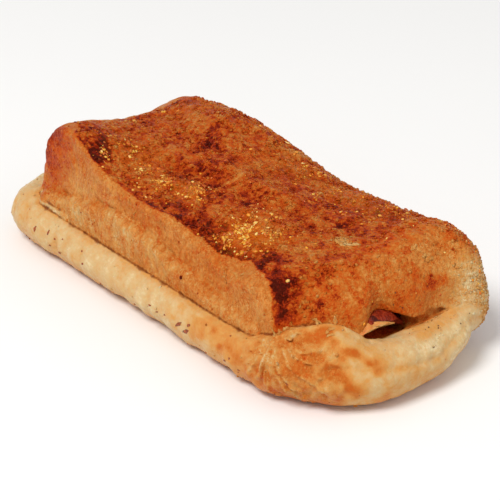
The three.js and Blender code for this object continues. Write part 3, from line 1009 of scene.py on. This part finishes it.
def strewn(skin, density, count, sizes, rng, **form):
    """Grains at random spots, with radii from a smallest, how much more there may be and its power."""
    smallest, more, power = sizes
    spots, normals = skin.scattered(density, count, rng)
    radii = smallest + more * rng.random(count) ** power
    return spots, *grains(spots, normals, radii, rng, **form)


def settle(points):
    """Nothing reaches below the surface that the pastry lies on."""
    points[:, 2] = np.maximum(points[:, 2], LOWEST)
    return points


def finished(piece, material):
    """The piece with its material and body."""
    piece.data.materials.append(material)
    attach(piece, BODY)
    return piece


CHEESE_CLUSTERS = [  # middle seen from above, reach and share of the grains
    ((22, -11), (6, 4.5), 1.0),
    ((25, -17), (4, 2.5), 1.0),
    ((18, -18), (3, 2), 0.8),
    ((-6, -10.5), (5, 3.5), 0.8),
    ((-13, -15), (4.5, 3.5), 0.7),
    ((-15, -21), (5, 2), 0.4),
    ((-24, -13), (4, 2.5), 0.8),
    ((-35, -19), (4, 3), 0.7),
    ((-36, -13), (5, 4), 0.4),
    ((20, -2), (5, 3), 0.4),
    ((31, 26), (15, 3), 0.3),
    ((4, 26), (8, 3), 0.35),
    ((-20, 31), (14, 3), 0.25),
    ((60, 30), (10, 3), 0.14),
    ((28, 16), (10, 5), 0.1),
]


def cluster_density(rows, p):
    """How thickly the grains lie at each point."""
    x, y, _ = p.T
    return sum(share * hump(x, cx, rx) * hump(y, cy, ry) for (cx, cy), (rx, ry), share in rows)


def cheese_crumbs(skin):
    """Baked grated cheese: golden grains in clusters on the top."""
    rng = np.random.default_rng(71)
    patchy = ramp(-0.1, 0.5, noise(skin.middle, 2.4, 72))
    density = (cluster_density(CHEESE_CLUSTERS, skin.middle) * (0.06 + patchy) + 0.002) * skin.at["top"]
    form = dict(detail=2, long=1.6, flat=0.65, rough=0.24, sink=0.42)
    _, points, faces, grain = strewn(skin, density, CHEESE_COUNT, (0.13, 0.42, 3), rng, **form)
    tone = rng.random(CHEESE_COUNT)[grain] + rng.uniform(-0.08, 0.08, len(points))
    piece = mesh_object("cheese_crumbs", settle(points), faces, {"tone": tone})
    return finished(piece, cheese_crumb_material())


def loose_looks(bake, gold, grainy, fibrous):
    """The crust's numbers for loose bits, which have no edge or crease."""
    away = np.full(len(bake), FAR)
    return dict(
        bake=np.clip(bake, 0.05, 1),
        side=np.clip(bake, 0.05, 1),
        edge=-away,
        crease=away,
        gold=gold + 0 * away,
        grainy=grainy + 0 * away,
        fibrous=fibrous + 0 * away,
        streaky=0 * away,
    )


def brown_crumbs(skin, material):
    """The browned grains that make the top rough, in the crust's own colours."""
    rng = np.random.default_rng(81)
    patchy = ramp(-0.6, 0.7, noise(skin.middle, 4.0, 82))
    x, y, z = skin.middle.T
    rough_top = skin.at["top"] * (1 - 0.92 * ramp(50, 60, x)) * ramp(17, 27, z)
    far_edge = 2.2 * hump(y, 32, 5) * skin.at["top"]
    density = (rough_top + far_edge) * (0.2 + patchy) + 0.01
    form = dict(flat=0.75, rough=0.25, sink=0.38)
    spots, points, faces, grain = strewn(skin, density, BROWN_COUNT, (0.17, 0.40, 2), rng, **form)
    looks = crust_looks(spots)
    bake = (looks["bake"] - 0.26 * rng.random(BROWN_COUNT) ** 1.5 + 0.06)[grain]
    looks = loose_looks(bake, looks["gold"][grain], 1.0, 0.0)
    piece = mesh_object("brown_crumbs", settle(points), faces, looks)
    return finished(piece, material)


RIM_SPECKS = [  # X, Z, length, width and turn in degrees of the burnt specks on the rim
    (-53, 10.0, 1.0, 0.5, 70),
    (-47, 11.0, 0.9, 0.35, 80),
    (-44, 10.0, 0.45, 0.35, 0),
    (-46, 7.0, 0.5, 0.4, 30),
    (-41, 6.5, 1.1, 0.5, 40),
    (-40, 11.5, 0.3, 0.3, 0),
    (-31, 11.0, 0.4, 0.35, 0),
    (-29, 8.0, 0.7, 0.4, 30),
    (4, 9.0, 0.6, 0.35, 20),
    (7, 8.0, 0.8, 0.25, 30),
    (11, 9.0, 0.5, 0.3, 20),
    (17, 8.6, 1.6, 0.5, 35),
    (20, 7.6, 1.5, 0.6, 30),
    (21, 10.0, 0.9, 0.4, 35),
    (38, 7.0, 0.7, 0.35, 20),
    (43, 6.0, 0.5, 0.3, 10),
    (60, 9.0, 0.7, 0.5, 10),
]


def flat_lumps(skin, rows, thick, rng):
    """Flattened lumps at set places on the cut side, each with its own length, width and turn."""
    form, faces = ball(2)
    all_points, all_faces = [], []
    for x, z, length, width, turn in rows:
        spot, normal = skin.from_side(x, z)
        along = np.cross(normal, (0, 0, 1.0))
        along = -along / np.linalg.norm(along)
        across = np.cross(normal, along)
        c, s = math.cos(math.radians(turn)), math.sin(math.radians(turn))
        first, second = along * c + across * s, across * c - along * s
        shape = form * (1 + rng.uniform(-0.45, 0.35, (len(form), 1)))
        points = shape[:, :1] * first * length + shape[:, 1:2] * second * width
        points = points + shape[:, 2:] * normal * thick
        all_faces.append(faces + len(form) * len(all_faces))
        all_points.append(points + spot)
    return np.concatenate(all_points), np.concatenate(all_faces)


def burnt_specks(skin):
    """Dark bits baked onto the rim, and fine ones strewn along its lower edge."""
    rng = np.random.default_rng(91)
    points, faces = flat_lumps(skin, RIM_SPECKS, RIM_SPECK_THICK, rng)
    _, y, z = skin.middle.T
    low_edge = (1 - skin.at["upper"]) * ramp(6, 1, z) * ramp(-20, -30, y)
    anywhere = 0.05 * (1 - skin.at["upper"])
    sizes = (0.12, 0.26, 2)
    _, more_points, more_faces, _ = strewn(skin, low_edge + anywhere, SPECK_COUNT, sizes, rng, flat=0.7)
    faces = np.concatenate([faces, more_faces + len(points)])
    points = np.concatenate([points, more_points])
    piece = mesh_object("burnt_specks", settle(points), faces)
    material = speck_material("burnt_specks", 1400, BURNT_COLOURS, (0.45, 0.7), (0.0002, 0.6))
    return finished(piece, material)


def pepper(skin):
    """Fine dark grains near the opening."""
    rng = np.random.default_rng(101)
    x, y, z = skin.middle.T
    by_ham = hump(x, 65, 3.5) * hump(y, -2, 5) * hump(z, 23, 3)
    lower_lip = 0.25 * ramp(68, 72, x) * hump(y, 11, 8) * ramp(12, 15, z) * (1 - skin.at["upper"])
    sizes = (0.1, 0.14, 2)
    _, points, faces, _ = strewn(skin, by_ham + lower_lip, PEPPER_COUNT, sizes, rng, sink=0.3)
    piece = mesh_object("pepper", points, faces)
    material = speck_material("pepper", 2200, PEPPER_COLOURS, (0.5, 0.7), (0.0001, 0.5))
    return finished(piece, material)


# ---- thin flakes of dough ----
def thick_sheet(middles, normal, thick):
    """A closed thin solid round a grid of middle points: its points and four-cornered faces."""
    rows, columns, _ = middles.shape
    half = normal * thick / 2
    points = np.concatenate([(middles + half).reshape(-1, 3), (middles - half).reshape(-1, 3)])
    index = np.arange(rows * columns).reshape(rows, columns)
    under = rows * columns
    a, b, c, d = index[:-1, :-1], index[1:, :-1], index[1:, 1:], index[:-1, 1:]
    top = np.stack([a, b, c, d], -1).reshape(-1, 4)
    edge = np.concatenate([index[:-1, 0], index[-1, :-1], index[:0:-1, -1], index[0, :0:-1]])
    after = np.roll(edge, -1)
    wall = np.stack([edge, edge + under, after + under, after], -1)
    return points, np.concatenate([top, top[:, ::-1] + under, wall])


def joined(parts):
    """Many small meshes as one: a list of points and faces to one of each, with each point's part."""
    shifts = np.cumsum([0] + [len(points) for points, _ in parts[:-1]])
    faces = np.concatenate([faces + shift for (_, faces), shift in zip(parts, shifts)])
    owner = np.repeat(np.arange(len(parts)), [len(points) for points, _ in parts])
    return np.concatenate([points for points, _ in parts]), faces, owner


FLAKE_THICK = 0.12
FLAKE_GRID = (9, 4)  # points along and across
DROP = 4.0  # millimetres above a flake from which it is let down onto the skin
FLAKE_SPOTS = [  # middle, reach, number, length, width and bake of the loose flakes' groups
    ((51, -27.5, 19), (2, 1.5, 1.5), 6, 2.6, 0.9, 0.36),
    ((60, -18.5, 20.5), (4, 1.5, 1), 5, 3.0, 0.9, 0.36),
    ((43.5, 3, 33.5), (2.2, 1.2, 3), 5, 4.2, 1.7, 0.34),
    ((63, 19, 34), (4, 5, 4), 5, 2.6, 1.3, 0.46),
    ((30, -24, 28), (14, 3, 5), 8, 2.2, 0.8, 0.50),
    ((-10, -27, 30), (30, 2, 4), 8, 2.0, 0.8, 0.50),
]


def flakes(skin, material):
    """Wispy flakes of dough that stand a little off the surface."""
    rng = np.random.default_rng(111)
    parts, bakes = [], []
    u, v = np.linspace(-1, 1, FLAKE_GRID[0])[:, None], np.linspace(-1, 1, FLAKE_GRID[1])[None, :]
    for middle, reach, number, length, width, bake in FLAKE_SPOTS:
        away = ((skin.middle - middle) / reach) ** 2
        spots, normals = skin.scattered(np.exp(-away.sum(1)), number, rng)
        first, second, up = frames(normals, rng)
        for k in range(number):
            long, wide = length * rng.uniform(0.25, 0.6), width * rng.uniform(0.25, 0.6)
            taper = np.sqrt(1.02 - u**2) * (1 + 0.3 * np.sin(5 * u + rng.uniform(0, 6)))
            lift = 0.02 + rng.uniform(0.05, 0.3) * (u * 0.5 + 0.5) ** 2 + 0.06 * np.sin(6 * u + 3 * v)
            bend = rng.uniform(-0.35, 0.35) * long * u**2
            middles = (
                spots[k]
                + (u * long)[..., None] * first[k]
                + (v * wide * taper + bend)[..., None] * second[k]
                + (lift + 0 * v)[..., None] * up[k]
            )
            middles = follow(skin, middles, normals[k], lift + 0 * v)
            parts.append(thick_sheet(middles, up[k], FLAKE_THICK))
            bakes.append(bake + rng.uniform(-0.08, 0.1))
    points, faces, owner = joined(parts)
    looks = loose_looks(np.array(bakes)[owner], 0.0, 0.3, 0.6)
    piece = mesh_object("flakes", settle(points), faces, looks)
    return finished(piece, material)


def follow(skin, middles, normal, lift):
    """The sheet's points laid onto the skin, each at its lift above it."""
    laid = middles.copy()
    for place in np.ndindex(lift.shape):
        start = middles[place] + normal * DROP
        spot, _, _, _ = skin.tree.ray_cast(Vector(start), Vector(-normal), 2 * DROP)
        if spot is not None:
            laid[place] = np.array(spot) + normal * lift[place]
    return laid


# ---- the filling ----
HAM_TIP = [  # along Y: top and bottom of the ham's browned end, at the opening
    (-8.2, 18.8, 18.4), (-6.0, 20.4, 19.8), (-4.2, 21.2, 19.9), (-0.3, 21.2, 18.3),
    (2.5, 20.0, 16.6), (4.8, 18.1, 14.9), (6.3, 16.6, 13.9), (7.6, 15.4, 13.8),
]
CHEESE_TIP = [  # the same of the cheese's pale end
    (-10.5, 18.2, 17.6), (-8.0, 19.5, 18.4), (-6.0, 20.2, 18.9), (-4.8, 20.4, 19.0),
    (-3.0, 20.1, 18.8), (-1.1, 19.2, 18.3), (1.5, 18.0, 17.5), (3.0, 17.2, 16.9),
]
REACH = dict(ham=-0.2, cheese=1.5)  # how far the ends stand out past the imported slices' ends
TIP_X = (56.0, 63.0)  # between these a slice takes on the form of its tip
NOSE, START = 2.4, 6.0  # lengths over which a slice's ends round off
SLICE_ROWS, SLICE_RING = 130, 96
CHARRED_SPOT = (65.2, -4.4, 21.0)


def slice_points(spec, middle, tip, reach, rows, ring):
    """A slice's points, ring by ring, from its far end to its tip at the opening."""
    u = np.linspace(0, 1, rows)[:, None]
    turn = np.linspace(0, 2 * math.pi, ring, endpoint=False)[None]
    across = np.sign(np.cos(turn)) * np.abs(np.cos(turn)) ** 0.6
    up = np.sign(np.sin(turn)) * np.abs(np.sin(turn)) ** 0.5
    along = 1 - (1 - u) ** 2.2
    x = mix(FILLING_FAR_X, spec["x1"] + reach, along) + 0 * turn
    to_tip = ramp(TIP_FROM, spec["x1"], x)
    nose = np.sqrt(np.clip(1 - np.clip((x - spec["x1"] - reach + NOSE) / NOSE, 0, 0.99) ** 2, 0, 1))
    start = np.sqrt(np.clip(1 - np.clip((FILLING_FAR_X + START - x) / START, 0, 0.98) ** 2, 0, 1))
    ys, tops, bottoms = np.transpose(tip)
    half = mix(spec["half_width"], (ys[-1] - ys[0]) / 2, to_tip) * (0.8 + 0.2 * nose) * start
    y = mix(spec["y"], (ys[-1] + ys[0]) / 2, to_tip) + across * half
    high, low = np.interp(y, ys, tops), np.interp(y, ys, bottoms)
    share = ramp(*TIP_X, x)
    level = mix(middle(x, y), (high + low) / 2, share)
    thin = mix(1, EDGE_SHARE, np.abs(across) ** 6)
    thick = mix(spec["thick"] * thin, high - low, share)
    return np.stack([x, y, level + up * thick / 2 * (0.15 + 0.85 * nose)], -1)


def closed_rings(rings):
    """Points and triangles of a tube of rings, with both of its ends closed."""
    rows, ring, _ = rings.shape
    index = np.arange(rows * ring).reshape(rows, ring)
    after = np.roll(index, -1, axis=1)
    a, b, c, d = index[:-1], index[1:], after[1:], after[:-1]
    walls = np.concatenate([np.stack([a, c, b], -1), np.stack([a, d, c], -1)]).reshape(-1, 3)
    first, last = rows * ring, rows * ring + 1
    near = np.stack([index[0], np.full(ring, first), after[0]], -1)
    far = np.stack([index[-1], after[-1], np.full(ring, last)], -1)
    points = np.concatenate([rings.reshape(-1, 3), rings[0].mean(0)[None], rings[-1].mean(0)[None]])
    return points, np.concatenate([walls, near, far])


def make_slice(name, spec, middle, tip, rough, material, slot):
    """One slice of the filling, rough and charred at its end in the opening."""
    points, faces = closed_rings(slice_points(spec, middle, tip, REACH[slot], SLICE_ROWS, SLICE_RING))
    shown = ramp(TIP_FROM, TIP_FROM + 8, points[:, 0])
    bumps = noise(points, 3.2, 131) * 0.5 + noise(points, 1.3, 132) * 0.35 + noise(points, 0.7, 134) * 0.15
    points[:, 2] += shown * rough * bumps
    points[:, 0] += shown * rough * 1.5 * noise(points, 2.0, 135)
    y = points[:, 1]
    spot = 1.3 * np.exp(-(((points - CHARRED_SPOT) / (1.5, 1.0, 1.0)) ** 2).sum(1))
    charred = ramp(4.0, 7.5, y) * 0.8 + spot + 0.5 * hump(y, -7.5, 1.2)
    bottom = np.interp(y, *np.transpose(tip)[[0, 2]])
    looks = {
        "dark": charred + 0.35 * noise(points, 1.6, 133),
        # low marks a slice's lower edge, which the cheese's colour paints with a highlight.
        "low": ramp(1.2, 0.2, points[:, 2] - bottom),
    }
    piece = mesh_object(name, points, faces, looks)
    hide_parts(slot)
    return finished(piece, material)


# ---- the other materials ----
GRATED_COLOURS = [
    (0.0, (180, 74, 12)),
    (0.3, (206, 104, 16)),
    (0.6, (224, 138, 26)),
    (0.85, (234, 168, 56)),
    (1.0, (240, 196, 116)),
]
BURNT_COLOURS = [(0.3, (116, 44, 12)), (0.5, (150, 66, 20)), (0.7, (190, 104, 40))]
PEPPER_COLOURS = [(0.3, (44, 18, 10)), (0.7, (110, 52, 26))]
HAM_COLOURS = [(0.1, (92, 14, 3)), (0.45, (136, 36, 9)), (0.75, (162, 58, 26)), (0.95, (198, 112, 76))]
CHARRED_COLOUR = (58, 10, 6)
CHEESE_COLOURS = [(0.3, (188, 100, 38)), (0.5, (206, 128, 60)), (0.7, (216, 154, 86))]
# Painted highlight: the pale colour of the cheese's lit lower edge.
CHEESE_LIT_EDGE_COLOUR = (226, 164, 92)


def cheese_crumb_material():
    n = Nodes("cheese_crumbs")
    fine = n.noise(1500)
    tone = n.plus(n.attribute("tone"), n.spread(fine, -0.15, 0.15))
    return n.finish(
        n.ramp(tone, GRATED_COLOURS),
        n.spread(fine, 0.22, 0.5),
        n.bump(n.noise(2600), 0.00015, 0.6),
        subsurface_weight=0.25,
        subsurface_scale=0.0008,
        specular_ior_level=0.35,
    )


def speck_material(name, scale, colours, roughness, bump):
    n = Nodes(name)
    fine = n.noise(scale)
    return n.finish(n.ramp(fine, colours), n.spread(fine, *roughness), n.bump(fine, *bump))


def ham_material():
    n = Nodes("baked_ham")
    mid, fine = n.noise(620, detail=3, roughness=0.6), n.noise(1700)
    mixed = n.plus(n.spread(mid, 0.0, 0.6), n.spread(fine, 0.0, 0.4))
    dark = n.times(n.span(n.attribute("dark"), 0.25, 0.9), 0.88)
    colour = n.blend(dark, n.ramp(mixed, HAM_COLOURS), linear(*CHARRED_COLOUR))
    return n.finish(
        colour,
        n.spread(fine, 0.3, 0.5),
        n.bump(mixed, 0.0006, 0.9),
        subsurface_weight=0.1,
        subsurface_scale=0.001,
        specular_ior_level=0.2,
    )


def cheese_material():
    n = Nodes("melted_cheese")
    mid, fine = n.noise(360), n.noise(1500)
    # Painted highlight: the cheese's lower edge is blended towards a paler colour.
    low = n.times(n.attribute("low"), 0.4)
    colour = n.blend(low, n.ramp(mid, CHEESE_COLOURS), linear(*CHEESE_LIT_EDGE_COLOUR))
    return n.finish(
        colour,
        n.spread(fine, 0.35, 0.5),
        n.bump(mid, 0.0003, 0.5),
        subsurface_weight=0.25,
        subsurface_scale=0.0015,
        specular_ior_level=0.2,
    )


# ---- floor, light and camera ----
CAMERA = dict(azimuth=49.5, elevation=30.0, distance=562.0, target=(7.1, -1.6, 15.6), lens=136.8)
LIGHTS = [  # name, azimuth and elevation in degrees, distance and size in metres, and power
    ("key", 10, 58, 1.3, 0.55, 11.9),
    ("fill", 120, 35, 1.5, 0.9, 2.2),
]
LIT_SPOT = (0, 0, 0.02)
ROOM_STRENGTH = 0.52
FLOOR_SIZE = 6.0  # metres
FLOOR_COLOURS = (247, 246, 244), (242, 241, 239)


def direction(azimuth, elevation):
    a, e = math.radians(azimuth), math.radians(elevation)
    return Vector((math.sin(a) * math.cos(e), -math.cos(a) * math.cos(e), math.sin(e)))


def aim(thing, target):
    thing.rotation_euler = (Vector(target) - thing.location).to_track_quat("-Z", "Y").to_euler()


def make_camera():
    data = bpy.data.cameras.new("camera")
    data.lens = CAMERA["lens"]
    camera = in_scene("camera", data)
    target = Vector(CAMERA["target"]) * MM
    camera.location = target + direction(CAMERA["azimuth"], CAMERA["elevation"]) * CAMERA["distance"] * MM
    aim(camera, target)
    bpy.context.scene.camera = camera


def soft_box(name, azimuth, elevation, distance, size, power):
    data = bpy.data.lights.new(name, "AREA")
    data.shape = "DISK"
    data.size = size
    data.energy = power
    light = in_scene(name, data)
    light.location = direction(azimuth, elevation) * distance
    aim(light, LIT_SPOT)


def make_floor():
    corners = np.array([(-1, -1, 0), (1, -1, 0), (1, 1, 0), (-1, 1, 0)]) * FLOOR_SIZE / 2 / MM + CENTRE
    floor = mesh_object("floor", corners, np.array([[0, 1, 2, 3]]), smooth=False)
    n = Nodes("floor")
    colour = n.blend(n.noise(3.0), *[linear(*colour) for colour in FLOOR_COLOURS])
    floor.data.materials.append(n.finish(colour, 0.7))


def make_studio():
    world = bpy.data.worlds.new("studio")
    world.use_nodes = True
    background = world.node_tree.nodes["Background"]
    background.inputs["Color"].default_value = (1.0, 1.0, 1.0, 1.0)
    background.inputs["Strength"].default_value = ROOM_STRENGTH
    bpy.context.scene.world = world
    bpy.context.scene.view_settings.view_transform = "Standard"
    for row in LIGHTS:
        soft_box(*row)
    make_floor()
    make_camera()


# ---- all together ----
make_studio()
pastry = make_pastry()
set_attributes(pastry, crust_looks(points_of(pastry)))
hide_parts("pastry")
crust = crust_material()
finished(pastry, crust)
make_slice("ham_slice", HAM, ham_middle, HAM_TIP, 0.5, ham_material(), "ham")
make_slice("cheese_slice", CHEESE, cheese_middle, CHEESE_TIP, 0.4, cheese_material(), "cheese")
skin = Skin(pastry)
brown_crumbs(skin, crust)
cheese_crumbs(skin)
burnt_specks(skin)
pepper(skin)
flakes(skin, crust)
